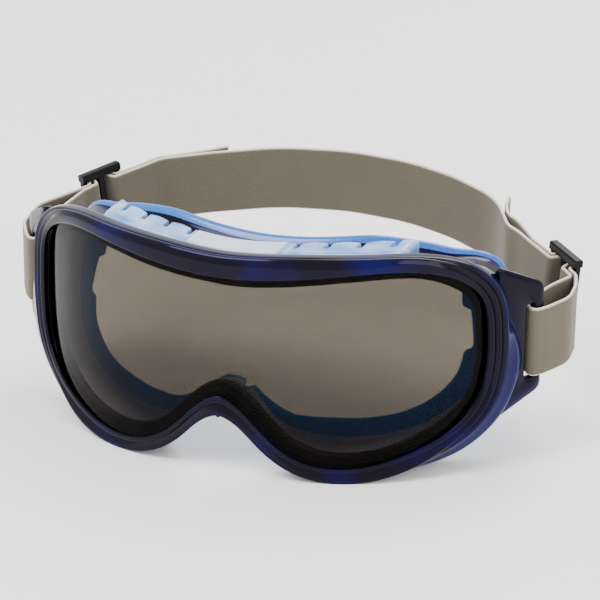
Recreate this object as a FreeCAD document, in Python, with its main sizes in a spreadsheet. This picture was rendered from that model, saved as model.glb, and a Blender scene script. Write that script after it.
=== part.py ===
import FreeCAD, Part
import Sketcher
import math
import os

from FreeCAD import Matrix, Placement, Rotation, Vector

# Safety goggles with a soft one-piece frame, a double lens, a vented roof and a
# headband that loops through a lug on each side and is held by two slides.
#
# Model frame: +Z up, the wearer looks along -Y, +X is the side of the wearer's left
# hand.  The design is laid out from the middle of the lens front and is moved at the
# end so that the origin lies under the middle of the whole object, on its rest plane.

DIMENSIONS = {
    # lens and its seat
    "lens_width": 150.0, "lens_height": 64.0, "lens_curve": 97.0,
    "outer_lens_thick": 2.0, "gasket_depth": 3.0, "inner_lens_thick": 1.0,
    "gasket_width": 2.7, "lens_bite": 2.5,
    # soft frame
    "rim_width": 5.8, "lip_thick": 1.2, "rear_lip": 1.5,
    "wall_thick": 2.4, "wall_flare": 1.0, "flange_thick": 2.0, "flange_out": 1.0,
    "opening_inset": 10.0, "brow_depth": 34.0, "face_curve": 135.0, "face_slope": 16.0,
    "nose_depth": 12.5, "nose_level": -9.0, "nose_lean": 45.0, "nose_flank": 37.0,
    "nose_foot": -20.0, "slit_width": 1.0, "slit_depth": 2.4, "slit_spread": 4.5,
    # vents and plate
    "cover_length": 92.0, "cover_thick": 2.2, "cover_depth": 17.0, "cover_front": 10.5,
    "vent_hole": 4.0, "louvre_width": 4.0, "louvre_depth": 3.0, "louvre_count": 10.0,
    "floor_cover_length": 24.0, "floor_cover_offset": 37.0, "floor_cover_thick": 1.6,
    "floor_cover_depth": 7.0,
    "plate_length": 31.0, "plate_depth": 9.0, "plate_thick": 0.8, "plate_front": 11.5,
    # strap and its hardware
    "strap_width": 22.3, "strap_thick": 1.3, "strap_rise": 10.1, "strap_level": 3.4,
    "slot_reach": 50.0, "strap_gap": 0.35,
    "lug_length": 13.5, "lug_thick": 3.0, "lug_spread": 4.0, "lug_setback": 0.785,
    "lug_angle": 46.0, "lug_over": 7.0, "lug_under": 3.5, "lug_web": 12.0,
    "slot_width": 3.2, "slot_bar": 2.4, "slot_play": 1.0,
    "slide_length": 16.0, "slide_rail": 2.6, "slide_thick": 3.2, "slide_round": 0.7,
    "bar_width": 2.0, "bar_thick": 1.6, "slide_play": 0.7, "slide_travel": 8.0,
    "fold_radius": 1.0, "fold_climb": 1.8, "loop_radius": 9.0, "loop_lead": 2.5, "stitch": 0.5,
}

doc = FreeCAD.newDocument("safety_goggles")
sheet = doc.addObject("Spreadsheet::Sheet", "Sizes")
for row, (name, value) in enumerate(DIMENSIONS.items(), start=1):
    sheet.set(f"A{row}", name)
    sheet.set(f"B{row}", str(value))
    sheet.setAlias(f"B{row}", name)
doc.recompute()
size = {name: float(sheet.get(name)) for name in DIMENSIONS}

# Half of the lens edge seen from the front, from the middle of the brow round to the
# middle of the nose: across (share of half the width), up (share of the height), and
# how much of the rim's width, the face opening's inset and the wall's flare applies.
LENS_EDGE = [
    (0.000, 0.441, 1.14, 0.60, 0.0),
    (0.275, 0.459, 1.09, 0.60, 0.0),
    (0.600, 0.498, 0.75, 0.60, 0.0),
    (0.800, 0.483, 0.75, 0.70, 0.3),
    (0.893, 0.427, 0.88, 0.85, 0.7),
    (0.967, 0.332, 1.00, 1.00, 1.0),
    (0.997, 0.156, 1.07, 1.00, 1.0),
    (0.997, -0.036, 1.07, 1.00, 1.0),
    (0.959, -0.216, 1.05, 1.10, 1.0),
    (0.827, -0.380, 1.00, 1.20, 1.0),
    (0.653, -0.473, 1.00, 1.15, 1.0),
    (0.501, -0.498, 0.97, 1.05, 0.8),
    (0.347, -0.462, 0.93, 0.95, 0.5),
    (0.224, -0.369, 0.86, 0.70, 0.2),
    (0.115, -0.234, 1.00, 0.35, 0.0),
    (0.000, -0.152, 1.40, 0.14, 0.0),
]
EVEN, RIM, INSET, FLARE = None, 2, 3, 4

# Depth limits of the working blocks, clear of everything they cut.
FRONT_END = -20.0
REAR_END = 90.0


# ---------------------------------------------------------------- outlines
def lens_edge_points(steps):
    """Closed list of (x, z) round the lens edge, each moved outwards by its steps.

    steps is a list of (distance, column): the point moves by distance times its share
    in that column of LENS_EDGE, or by the whole distance where column is EVEN.
    """
    half_width = size["lens_width"] / 2
    rows = LENS_EDGE + [(-row[0],) + row[1:] for row in LENS_EDGE[-2:0:-1]]
    corners = [(row[0] * half_width, row[1] * size["lens_height"]) for row in rows]
    moved = []
    for index, (row, (x, z)) in enumerate(zip(rows, corners)):
        before = corners[index - 1]
        after = corners[(index + 1) % len(corners)]
        along = Vector(after[0] - before[0], after[1] - before[1], 0).normalize()
        distance = sum(step * (1.0 if column is EVEN else row[column])
                       for step, column in steps)
        moved.append(Vector(x - along.y * distance, z + along.x * distance, 0))
    return moved


def outline_sketch(name, steps):
    """Sketch in the front plane that holds one smooth closed curve."""
    curve = Part.BSplineCurve()
    curve.interpolate(lens_edge_points(steps), PeriodicFlag=True)
    sketch = doc.addObject("Sketcher::SketchObject", name)
    sketch.Placement = Placement(Vector(0, 0, 0), Rotation(Vector(1, 0, 0), 90))
    sketch.addGeometry(curve, False)
    return sketch


def prism(name, steps):
    """Solid bar along Y with the outline's section, over the whole depth."""
    bar = doc.addObject("Part::Extrusion", name)
    bar.Base = outline_sketch(name + "_outline", steps)
    bar.DirMode = "Custom"
    bar.Dir = Vector(0, 1, 0)
    bar.LengthFwd = REAR_END
    bar.LengthRev = -FRONT_END
    bar.Solid = True
    return bar


def flared_prism(name, front_steps, rear_steps):
    """Solid bar along Y whose outline changes evenly from the lens to its rear end."""
    ends = []
    for label, steps, depth in (("front", front_steps, FRONT_END), ("rear", rear_steps, REAR_END)):
        sketch = outline_sketch(f"{name}_{label}", steps)
        sketch.Placement = Placement(Vector(0, depth, 0), Rotation(Vector(1, 0, 0), 90))
        ends.append(sketch)
    bar = doc.addObject("Part::Loft", name)
    bar.Sections = ends
    bar.Solid = True
    bar.Ruled = True
    return bar


# ---------------------------------------------------------------- simple solids
def add_polygon(sketch, corners):
    """Closed run of straight lines in a sketch."""
    for start, end in zip(corners, corners[1:] + corners[:1]):
        sketch.addGeometry(Part.LineSegment(start, end), False)


def boolean(kind, name, base, tool):
    result = doc.addObject("Part::" + kind, name)
    result.Base = base
    result.Tool = tool
    return result


def cut(name, base, tool):
    return boolean("Cut", name, base, tool)


def common(name, base, tool):
    return boolean("Common", name, base, tool)


def fuse(name, base, tool):
    return boolean("Fuse", name, base, tool)


def lens_drum(name, radius):
    """Upright drum on the lens's own axis; radius is an expression."""
    drum = doc.addObject("Part::Cylinder", name)
    drum.setExpression("Radius", radius)
    drum.Height = 2 * REAR_END
    drum.Placement.Base = Vector(0, 0, -REAR_END)
    drum.setExpression("Placement.Base.y", "Sizes.lens_curve")
    return drum


def lens_shell(name, outer, inner):
    """Curved slab between two radii on the lens's axis."""
    return cut(name, lens_drum(name + "_outer", outer), lens_drum(name + "_inner", inner))


def nose_block(name, tip, level, direction, length):
    """Wedge with its edge towards the lens, carried down from a level along a direction."""
    half = REAR_END
    flank = half * math.tan(math.radians(size["nose_flank"]))
    corners = [Vector(0, tip, 0), Vector(half, tip + flank, 0), Vector(half, 2 * REAR_END, 0),
               Vector(-half, 2 * REAR_END, 0), Vector(-half, tip + flank, 0)]
    sketch = doc.addObject("Sketcher::SketchObject", name + "_plan")
    sketch.Placement = Placement(Vector(0, 0, level), Rotation())
    add_polygon(sketch, corners)
    block = doc.addObject("Part::Extrusion", name)
    block.Base = sketch
    block.DirMode = "Custom"
    block.Dir = direction
    block.LengthFwd = length
    block.Solid = True
    return block


def face_form(name, forward):
    """Block shaped like the wearer's brow, cheeks and nose, moved towards the lens."""
    tall = 2 * REAR_END
    head = doc.addObject("Part::Cylinder", name + "_head")
    head.setExpression("Radius", "Sizes.face_curve")
    head.Height = 2 * tall
    slope = math.radians(size["face_slope"])
    lean = Rotation(Vector(1, 0, 0), -size["face_slope"])
    centre = Vector(0, size["brow_depth"] - forward + size["face_curve"] / math.cos(slope), 0)
    head.Placement = Placement(centre - lean.multVec(Vector(0, 0, tall)), lean)
    # The bridge of the nose leans back upwards, and stands upright below its foot.
    rise = math.tan(math.radians(size["nose_lean"]))
    bridge_top = -2 * size["nose_foot"]
    top_tip = size["nose_depth"] - forward + (bridge_top - size["nose_level"]) * rise
    foot_tip = size["nose_depth"] - forward + (size["nose_foot"] - size["nose_level"]) * rise
    drop = bridge_top - size["nose_foot"]
    bridge = nose_block(name + "_bridge", top_tip, bridge_top, Vector(0, -rise, -1),
                        math.hypot(drop, drop * rise))
    foot = nose_block(name + "_foot", foot_tip, size["nose_foot"], Vector(0, 0, -1), REAR_END)
    form = doc.addObject("Part::MultiFuse", name)
    form.Shapes = [head, bridge, foot]
    return form


# ---------------------------------------------------------------- lens stack
front_radius = "Sizes.lens_curve"
outer_back = front_radius + " - Sizes.outer_lens_thick"
gasket_back = outer_back + " - Sizes.gasket_depth"
inner_back = gasket_back + " - Sizes.inner_lens_thick"
rim_back = inner_back + " - Sizes.rear_lip"
lip_front = front_radius + " + Sizes.lip_thick"

outer_lens = common("outer_lens", prism("outer_lens_bar", [(size["lens_bite"], EVEN)]),
                    lens_shell("outer_lens_shell", front_radius, outer_back))
gasket_ring = cut("gasket_ring", prism("gasket_bar", [(size["lens_bite"], EVEN)]),
                  prism("gasket_hole", [(-size["gasket_width"], EVEN)]))
lens_gasket = common("lens_gasket", gasket_ring,
                     lens_shell("gasket_shell", outer_back, gasket_back))
inner_lens = common("inner_lens", prism("inner_lens_bar", [(size["lens_bite"], EVEN)]),
                    lens_shell("inner_lens_shell", gasket_back, inner_back))

# ---------------------------------------------------------------- soft frame
rim_ring = cut("rim_ring", prism("rim_bar", [(size["rim_width"], RIM)]), prism("rim_hole", []))
rim_band = common("rim_band", rim_ring, lens_shell("rim_shell", lip_front, rim_back))
lens_groove = common("lens_groove", prism("groove_bar", [(size["lens_bite"], EVEN)]),
                     lens_shell("groove_shell", front_radius, inner_back))
rim_grooved = cut("rim_grooved", rim_band, lens_groove)

seat_front = face_form("seat_front", size["flange_thick"])
frame_rim = cut("frame_rim", rim_grooved, seat_front)
seat_back = face_form("seat_back", 0.0)
wall_tube = cut("wall_tube",
                flared_prism("wall_outside", [(size["wall_thick"], EVEN)],
                             [(size["wall_thick"], EVEN), (size["wall_flare"], FLARE)]),
                flared_prism("wall_inside", [], [(size["wall_flare"], FLARE)]))
wall_front = common("wall_front", wall_tube, lens_drum("wall_start", rim_back))
wall_plain = cut("wall_plain", wall_front, seat_front)


def vent_holes(name, places, low, setback):
    """Row of square holes through the wall, each at its own place across."""
    holes = []
    for index, across in enumerate(places):
        hole = doc.addObject("Part::Box", f"{name}_{index + 1}")
        hole.setExpression("Length", "Sizes.vent_hole")
        hole.setExpression("Width", "Sizes.vent_hole")
        hole.setExpression("Height", "Sizes.lens_height / 2")
        depth = size["lens_curve"] - math.sqrt((size["lens_curve"] - setback) ** 2 - across ** 2)
        hole.Placement.Base = Vector(across - size["vent_hole"] / 2, depth, low)
        holes.append(hole)
    return holes


cover_half = size["cover_length"] / 2
louvre_pitch = size["cover_length"] / size["louvre_count"]
louvre_places = [-cover_half + (index + 0.5) * louvre_pitch
                 for index in range(int(size["louvre_count"]))]
roof_holes = vent_holes("roof_vent", louvre_places[1:-1], size["lens_height"] / 4,
                        size["cover_front"] + size["cover_thick"])
floor_places = [sign * (size["floor_cover_offset"] + shift * size["vent_hole"])
                for sign in (1, -1) for shift in (-1, 1)]
floor_holes = vent_holes("floor_vent", floor_places, -size["lens_height"],
                         size["cover_front"])
wall_vents = doc.addObject("Part::MultiFuse", "wall_vents")
wall_vents.Shapes = roof_holes + floor_holes
frame_wall = cut("frame_wall", wall_plain, wall_vents)

flange_ring = cut("flange_ring",
                  prism("flange_bar", [(size["wall_thick"] + size["flange_out"], EVEN),
                                       (size["wall_flare"], FLARE)]),
                  prism("face_opening", [(-size["opening_inset"], INSET)]))
flange_blank = common("flange_blank", flange_ring, seat_front)
flange_trimmed = cut("flange_trimmed", flange_blank, seat_back)
slits = []
for side, sign in (("right", 1), ("left", -1)):
    slit = doc.addObject("Part::Box", side + "_nose_slit")
    slit.setExpression("Length", "Sizes.slit_width")
    slit.setExpression("Width", "2 * Sizes.nose_depth")
    slit.setExpression("Height", "2 * Sizes.slit_depth")
    tip_level = LENS_EDGE[-1][1] * size["lens_height"] - size["slit_depth"]
    slit.Placement.Base = Vector(sign * size["slit_spread"] - size["slit_width"] / 2, 0, tip_level)
    slits.append(slit)
nose_slits = doc.addObject("Part::MultiFuse", "nose_slits")
nose_slits.Shapes = slits
face_flange = cut("face_flange", flange_trimmed, nose_slits)


def upright_prism(name, plan, low, high):
    """Solid between two heights on a closed plan of (x, y) corners."""
    sketch = doc.addObject("Sketcher::SketchObject", name + "_plan")
    sketch.Placement = Placement(Vector(0, 0, low), Rotation())
    corners = [Vector(x, y, 0) for x, y in plan]
    add_polygon(sketch, corners)
    block = doc.addObject("Part::Extrusion", name)
    block.Base = sketch
    block.DirMode = "Custom"
    block.Dir = Vector(0, 0, 1)
    block.LengthFwd = high - low
    block.Solid = True
    return block


# ---------------------------------------------------------------- strap lugs
strap_slope = math.tan(math.radians(size["strap_rise"]))


def strap_height(y):
    """Height of the strap's centre line at a place along the depth."""
    return size["strap_level"] + strap_slope * (y - size["slot_reach"])


slot_half = size["strap_width"] / 2 / math.cos(math.radians(size["strap_rise"])) + size["slot_play"]
lug_turn = math.radians(size["lug_angle"])
lug_along = Vector(math.cos(lug_turn), math.sin(lug_turn), 0)
lug_outward = Vector(math.sin(lug_turn), -math.cos(lug_turn), 0)
lug_x = size["lens_width"] / 2 + size["lug_spread"]
lug_depth = size["lens_curve"] - math.sqrt(size["lens_curve"] ** 2 - lug_x ** 2)
lug_root = Vector(lug_x, lug_depth + size["lug_setback"], 0)
slot_start = size["lug_length"] - size["slot_bar"] - size["slot_width"]
slot_centre = lug_root + lug_along * (slot_start + size["slot_width"] / 2)
bar_centre = lug_root + lug_along * (size["lug_length"] - size["slot_bar"] / 2)
slot_level = strap_height(slot_centre.y)


def lug_blank():
    """Wing that stands off the rim, with a slot near its free edge for the strap."""
    top = slot_level + slot_half + size["lug_over"]
    bottom = slot_level - slot_half - size["lug_under"]
    corners = [Vector(0, top + size["lug_under"], 0), Vector(size["lug_length"], top, 0),
               Vector(size["lug_length"], bottom, 0), Vector(0, bottom - size["lug_web"], 0)]
    body = doc.addObject("PartDesign::Body", "lug_wing")
    plane = [item for item in body.Origin.OriginFeatures if item.Role == "XZ_Plane"][0]
    sketch = body.newObject("Sketcher::SketchObject", "lug_profile")
    sketch.AttachmentSupport = [(plane, "")]
    sketch.MapMode = "FlatFace"
    add_polygon(sketch, corners)
    pad = body.newObject("PartDesign::Pad", "lug_pad")
    pad.Profile = sketch
    pad.setExpression("Length", "Sizes.lug_thick")
    pad.Midplane = True
    slot_sketch = body.newObject("Sketcher::SketchObject", "lug_slot_profile")
    slot_sketch.AttachmentSupport = [(plane, "")]
    slot_sketch.MapMode = "FlatFace"
    low, high = slot_level - slot_half, slot_level + slot_half
    right = slot_start + size["slot_width"]
    add_polygon(slot_sketch, [Vector(slot_start, low, 0), Vector(right, low, 0),
                              Vector(right, high, 0), Vector(slot_start, high, 0)])
    pocket = body.newObject("PartDesign::Pocket", "lug_slot")
    pocket.Profile = slot_sketch
    pocket.Type = "ThroughAll"
    pocket.Midplane = True
    body.Tip = pocket
    body.Placement = Placement(lug_root, Rotation(Vector(0, 0, 1), size["lug_angle"]))
    return body


rim_solid = prism("rim_outside", [(size["rim_width"], RIM)])
lug_wing = lug_blank()
rim_side = common("rim_side", rim_solid, lens_drum("lug_stop", lip_front))
right_lug = cut("right_lug", lug_wing, rim_side)
left_wing = doc.addObject("Part::Mirroring", "left_wing")
left_wing.Source = lug_wing
left_wing.Normal = Vector(1, 0, 0)
left_lug = cut("left_lug", left_wing, rim_side)

# ---------------------------------------------------------------- vents and plate
cover_ring = cut("cover_ring",
                 prism("cover_bar", [(size["wall_thick"] + size["cover_thick"], EVEN)]),
                 flared_prism("cover_seat", [(size["wall_thick"], EVEN)],
                              [(size["wall_thick"], EVEN), (size["wall_flare"], FLARE)]))


def front_setback(depth):
    """Lens drum's radius that lies this far behind the lens front."""
    return f"Sizes.lens_curve - {depth}"


def vent_cover(name, ring, low_x, high_x, low_z, high_z, start, depth):
    """Curved cover plate on the wall, between two heights and two ends."""
    plan = [(low_x, FRONT_END), (high_x, FRONT_END), (high_x, REAR_END), (low_x, REAR_END)]
    window = upright_prism(name + "_window", plan, low_z, high_z)
    piece = common(name + "_strip", ring, window)
    shell = lens_shell(name + "_shell", front_setback(start), front_setback(start + " - " + depth))
    return common(name, piece, shell)


cover_plain = vent_cover("top_cover_blank", cover_ring, -cover_half, cover_half, 0.0, REAR_END,
                         "Sizes.cover_front", "Sizes.cover_depth")
louvres = []
for index, middle in enumerate(louvre_places):
    rear_radius = size["lens_curve"] - size["cover_front"] - size["cover_depth"]
    rear = size["lens_curve"] - math.sqrt(rear_radius ** 2 - middle ** 2)
    notch = doc.addObject("Part::Box", f"louvre_{index + 1}")
    notch.setExpression("Length", "Sizes.louvre_width")
    notch.setExpression("Width", "2 * Sizes.louvre_depth")
    notch.Height = REAR_END
    notch.Placement.Base = Vector(middle - size["louvre_width"] / 2,
                                  rear - size["louvre_depth"], 0)
    louvres.append(notch)
notches = doc.addObject("Part::MultiFuse", "louvres")
notches.Shapes = louvres
top_vent_cover = cut("top_vent_cover", cover_plain, notches)

plate_ring = cut("plate_ring",
                 prism("plate_bar", [(size["wall_thick"] + size["cover_thick"]
                                      + size["plate_thick"], EVEN)]),
                 prism("plate_seat", [(size["wall_thick"] + size["cover_thick"], EVEN)]))
label_plate = vent_cover("label_plate", plate_ring, -size["plate_length"] / 2,
                         size["plate_length"] / 2, 0.0, REAR_END,
                         "Sizes.plate_front", "Sizes.plate_depth")

floor_ring = cut("floor_ring",
                 prism("floor_bar", [(size["wall_thick"] + size["floor_cover_thick"], EVEN)]),
                 flared_prism("floor_seat", [(size["wall_thick"], EVEN)],
                              [(size["wall_thick"], EVEN), (size["wall_flare"], FLARE)]))
floor_covers = []
for side, sign in (("right", 1), ("left", -1)):
    ends = sorted(sign * (size["floor_cover_offset"] + share * size["floor_cover_length"])
                  for share in (-0.5, 0.5))
    blank = vent_cover(side + "_floor_cover", floor_ring, ends[0], ends[1],
                       -REAR_END, size["nose_foot"],
                       "Sizes.cover_front", "Sizes.floor_cover_depth")
    floor_covers.append(cut(side + "_floor_vent", blank, seat_front))

# ---------------------------------------------------------------- headband
def beside_lug_root(side, out, behind):
    """Place in plan from a lug's root: out from the middle, and behind."""
    return Vector(side * (lug_root.x + out), lug_root.y + behind, 0)


# Each slide lies flat against the strap: where its middle is, and which way the strap
# runs forwards through it, in degrees from +X.
SLIDES = {
    "right": {"side": 1, "middle": beside_lug_root(1, 8.3, 39.3), "heading": -43.8},
    "left": {"side": -1, "middle": beside_lug_root(-1, 3.5, 53.3), "heading": -120.0},
}
slide_half = size["slide_length"] / 2
weave_rear = -(slide_half + size["slide_travel"] + size["stitch"])
weave_front = slide_half + size["stitch"]
layer_pitch = size["strap_thick"] + size["strap_gap"]
near_layer = size["bar_thick"] / 2 + size["strap_gap"] + size["strap_thick"] / 2
far_layer = near_layer + layer_pitch


def slide_point(slide, along, outward):
    """Place in plan, measured along the strap and outwards from a slide's middle."""
    heading = math.radians(slide["heading"])
    forward = Vector(math.cos(heading), math.sin(heading), 0)
    away = Vector(-forward.y, forward.x, 0) * slide["side"]
    return slide["middle"] + forward * along + away * outward


def band_edge(points, radii, offset):
    """Lines and tangent arcs beside a route, offset to its left; ends are returned too."""
    runs = [(end - start).normalize() for start, end in zip(points, points[1:])]
    lefts = [Vector(-run.y, run.x, 0) for run in runs]
    pieces = []
    here = points[0] + lefts[0] * offset
    first = here
    for index in range(1, len(points) - 1):
        corner, before, after = points[index], runs[index - 1], runs[index]
        turn = before.getAngle(after)
        bend = 1 if before.cross(after).z > 0 else -1
        radius = radii[index]
        reach = radius * math.tan(turn / 2)
        centre = corner - before * reach + lefts[index - 1] * (bend * radius)
        arm = radius - bend * offset
        start = centre - lefts[index - 1] * (bend * arm)
        end = centre - lefts[index] * (bend * arm)
        towards = (corner - centre).normalize()
        pieces.append(Part.LineSegment(here, start))
        pieces.append(Part.Arc(start, centre + towards * arm, end))
        here = end
    last = points[-1] + lefts[-1] * offset
    pieces.append(Part.LineSegment(here, last))
    return pieces, first, last


def corner_radii(points, largest):
    """Radius at each inner point: as large as its two runs allow, up to a limit."""
    radii = [0.0]
    for before, corner, after in zip(points, points[1:], points[2:]):
        turn = (corner - before).getAngle(after - corner)
        shorter = min((corner - before).Length, (after - corner).Length)
        radii.append(min(largest, 0.45 * shorter / math.tan(turn / 2)))
    return radii


def strap_piece(name, points, largest=60.0, upward=Vector(0, 0, 1), level=0.0):
    """Length of strap on a route in plan, cut from the plane that the strap rises in.

    Its faces stand along upward, and pass through the route at that level.
    """
    radii = corner_radii(points, largest)
    half = size["strap_thick"] / 2
    left, left_first, left_last = band_edge(points, radii, half)
    right, right_first, right_last = band_edge(points, radii, -half)
    closing = [Part.LineSegment(left_last, right_last), Part.LineSegment(right_first, left_first)]
    sketch = doc.addObject("Sketcher::SketchObject", name + "_plan")
    sketch.Placement = Placement(Vector(0, 0, level) - upward * REAR_END, Rotation())
    for piece in left + right + closing:
        sketch.addGeometry(piece, False)
    tall = doc.addObject("Part::Extrusion", name + "_tall")
    tall.Base = sketch
    tall.DirMode = "Custom"
    tall.Dir = upward
    tall.LengthFwd = 2 * REAR_END
    tall.Solid = True
    slab = doc.addObject("Part::Box", name + "_slab")
    slab.Length = 4 * REAR_END
    slab.Width = 4 * REAR_END
    slab.setExpression("Height", "Sizes.strap_width")
    rise = Rotation(Vector(1, 0, 0), size["strap_rise"])
    middle = Vector(0, size["slot_reach"], size["strap_level"])
    corner = Vector(-2 * REAR_END, -2 * REAR_END, -size["strap_width"] / 2)
    slab.Placement = Placement(middle + rise.multVec(corner), rise)
    return common(name, tall, slab)


def slide_axes(slide):
    """The slide's forward, sideways and upward directions: it leans with the strap's rise."""
    heading = math.radians(slide["heading"])
    forward = Vector(math.cos(heading), math.sin(heading), math.sin(heading) * strap_slope)
    forward.normalize()
    away = Vector(-math.sin(heading), math.cos(heading), 0)
    return forward, away, forward.cross(away)


def woven_layer(name, slide, outer):
    """Strap layer through a slide: inside both end bars and outside the middle bar.

    The folds lean with the bars; the ends are cut upright, to meet the strap beyond them.
    """
    shift = layer_pitch if outer else 0.0
    inside = -near_layer if outer else -far_layer
    outside = far_layer if outer else near_layer
    middle_side = size["bar_width"] / 2 + size["strap_gap"] + size["strap_thick"] / 2 + shift
    climb = size["fold_climb"]
    spare = size["slide_rail"]
    stations = [(weave_rear - spare, inside), (-middle_side - climb, inside),
                (-middle_side, outside), (middle_side, outside),
                (middle_side + climb, inside), (weave_front + spare, inside)]
    points = [slide_point(slide, along, outward) for along, outward in stations]
    long_weave = strap_piece(name + "_long", points, size["fold_radius"],
                             slide_axes(slide)[2], strap_height(slide["middle"].y))
    reach = 2 * far_layer
    plan = [slide_point(slide, along, outward)
            for along, outward in ((weave_rear, -reach), (weave_front, -reach),
                                   (weave_front, reach), (weave_rear, reach))]
    window = upright_prism(name + "_window", [(corner.x, corner.y) for corner in plan],
                           -REAR_END, REAR_END)
    return common(name, long_weave, window)


def lug_point(side, along, outward):
    """Place in plan beside a lug, measured along its wing and outwards from it."""
    place = lug_root + lug_along * along + lug_outward * outward
    return Vector(side * place.x, place.y, 0)


beside_lug = size["lug_thick"] / 2 + size["strap_gap"] + size["strap_thick"] / 2
through_slot = slot_start + size["slot_width"] / 2
past_bar = size["lug_length"] + size["strap_gap"] + size["strap_thick"] / 2

# Strap routes in plan.  The loops run between a slide and its lug: (out, behind) from
# the lug's root.  The rear routes round the head are wide as a share of the lugs'
# distance from the middle: (share, behind).
LOOP_INNER = {"right": [(9.3, 22.0), (5.9, 14.0)], "left": [(8.2, 28.5), (5.9, 15.0)]}
LOOP_OUTER = {"right": [(16.9, 16.0), (16.7, 24.0)], "left": [(16.3, 16.0), (16.85, 28.5)]}
REAR_ROUTE = [(-0.867, 70.9), (-0.658, 80.0), (-0.380, 90.0), (-0.063, 93.3), (0.228, 90.8),
              (0.456, 84.3), (0.690, 73.3), (0.808, 56.0), (0.865, 52.9)]
TAIL_ROUTE = {"right": [(0.901, 53.4), (0.838, 59.7), (0.778, 63.7), (0.752, 68.5), (0.739, 75.5)],
              "left": [(-0.885, 71.7), (-0.709, 80.2), (-0.618, 85.9)]}


def rear_places(route):
    return [Vector(share * lug_root.x, lug_root.y + behind, 0) for share, behind in route]


def loop_places(side, route):
    return [beside_lug_root(SLIDES[side]["side"], out, behind) for out, behind in route]


lead = weave_front + size["loop_lead"]
rear_ends = {side: slide_point(slide, weave_rear, -far_layer) for side, slide in SLIDES.items()}
rear_band = strap_piece("rear_band", [rear_ends["left"]] + rear_places(REAR_ROUTE)
                        + [rear_ends["right"]])
headband = [rear_band]
for side, slide in SLIDES.items():
    sign = slide["side"]
    headband.append(woven_layer(side + "_inner_weave", slide, False))
    headband.append(woven_layer(side + "_outer_weave", slide, True))
    tail_start = slide_point(slide, weave_rear, -near_layer)
    headband.append(strap_piece(side + "_tail", [tail_start] + rear_places(TAIL_ROUTE[side])))
    loop = [slide_point(slide, weave_front, -far_layer), slide_point(slide, lead, -far_layer)]
    loop += loop_places(side, LOOP_INNER[side])
    loop += [lug_point(sign, through_slot, -beside_lug), lug_point(sign, through_slot, beside_lug)]
    loop += [lug_point(sign, past_bar, beside_lug)] + loop_places(side, LOOP_OUTER[side])
    loop += [slide_point(slide, lead, -near_layer), slide_point(slide, weave_front, -near_layer)]
    headband.append(strap_piece(side + "_loop", loop, size["loop_radius"]))


def strap_slide(side, slide):
    """Three-bar slide: thick rails above and below the strap, thin bars across it."""
    body = doc.addObject("PartDesign::Body", side + "_slide")
    plane = [item for item in body.Origin.OriginFeatures if item.Role == "XZ_Plane"][0]
    inner = size["strap_width"] / 2 + size["slide_play"]
    outer = inner + size["slide_rail"]

    def plate(name, rectangles, thickness):
        sketch = body.newObject("Sketcher::SketchObject", name + "_profile")
        sketch.AttachmentSupport = [(plane, "")]
        sketch.MapMode = "FlatFace"
        for left, right, low, high in rectangles:
            add_polygon(sketch, [Vector(left, low, 0), Vector(right, low, 0),
                                 Vector(right, high, 0), Vector(left, high, 0)])
        pad = body.newObject("PartDesign::Pad", name)
        pad.Profile = sketch
        pad.setExpression("Length", thickness)
        pad.Midplane = True
        return pad

    slot_ends = (size["bar_width"] / 2, slide_half - size["bar_width"])
    plate("bars", [(-slide_half, slide_half, -outer, outer),
                   (slot_ends[0], slot_ends[1], -inner, inner),
                   (-slot_ends[1], -slot_ends[0], -inner, inner)], "Sizes.bar_thick")
    rails = plate("rails_top", [(-slide_half, slide_half, inner, outer)], "Sizes.slide_thick")
    rails = plate("rails_low", [(-slide_half, slide_half, -outer, -inner)], "Sizes.slide_thick")
    doc.recompute()
    long_edges = [f"Edge{number}" for number, edge in enumerate(rails.Shape.Edges, start=1)
                  if abs(edge.Length - size["slide_length"]) < 0.01
                  and abs(abs(edge.CenterOfMass.z) - outer) < 0.01]
    rounding = body.newObject("PartDesign::Fillet", "rail_rounding")
    rounding.Base = (rails, long_edges)
    rounding.setExpression("Radius", "Sizes.slide_round")
    body.Tip = rounding
    forward, away, upward = slide_axes(slide)
    middle = Vector(slide["middle"])
    middle.z = strap_height(middle.y)
    body.Placement = Placement(Matrix(forward.x, away.x, upward.x, middle.x,
                                      forward.y, away.y, upward.y, middle.y,
                                      forward.z, away.z, upward.z, middle.z, 0, 0, 0, 1))
    return body


slides = [strap_slide(side, slide) for side, slide in SLIDES.items()]

# ---------------------------------------------------------------- placing and export
NODES = [outer_lens, lens_gasket, inner_lens, frame_rim, frame_wall, face_flange,
         right_lug, left_lug, top_vent_cover, label_plate] + floor_covers + headband + slides
for node in NODES:
    node.Label = node.Name
doc.recompute()
for item in doc.Objects:
    if "Invalid" in item.State or "Error" in item.State:
        raise RuntimeError(f"{item.Name} did not build")
for node in NODES:
    if node.Shape.isNull() or not node.Shape.isValid():
        raise RuntimeError(f"{node.Label} has no sound shape")

# The origin: on the rest plane, under the middle of the object's depth.
boxes = [node.Shape.optimalBoundingBox(False) for node in NODES]
middle_y = (min(box.YMin for box in boxes) + max(box.YMax for box in boxes)) / 2
rest_z = min(box.ZMin for box in boxes)
to_origin = Placement(Vector(0, -middle_y, -rest_z), Rotation())
for node in NODES:
    node.Placement = to_origin.multiply(node.Placement)
doc.recompute()
print(f"lens middle stands at y {-middle_y:.2f}, z {-rest_z:.2f}")

os.makedirs("parts", exist_ok=True)
for node in NODES:
    node.Shape.exportStep(f"parts/{node.Label}.step")
    box = node.Shape.optimalBoundingBox(False)
    print(f"{node.Label:20} {len(node.Shape.Solids)} solid, {node.Shape.Volume:8.0f} mm3,"
          f" x {box.XMin:6.1f} {box.XMax:6.1f}, y {box.YMin:6.1f} {box.YMax:6.1f},"
          f" z {box.ZMin:6.1f} {box.ZMax:6.1f}")
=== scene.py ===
import math

import bmesh
import bpy
import numpy as np
from mathutils import Matrix, Vector


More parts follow.
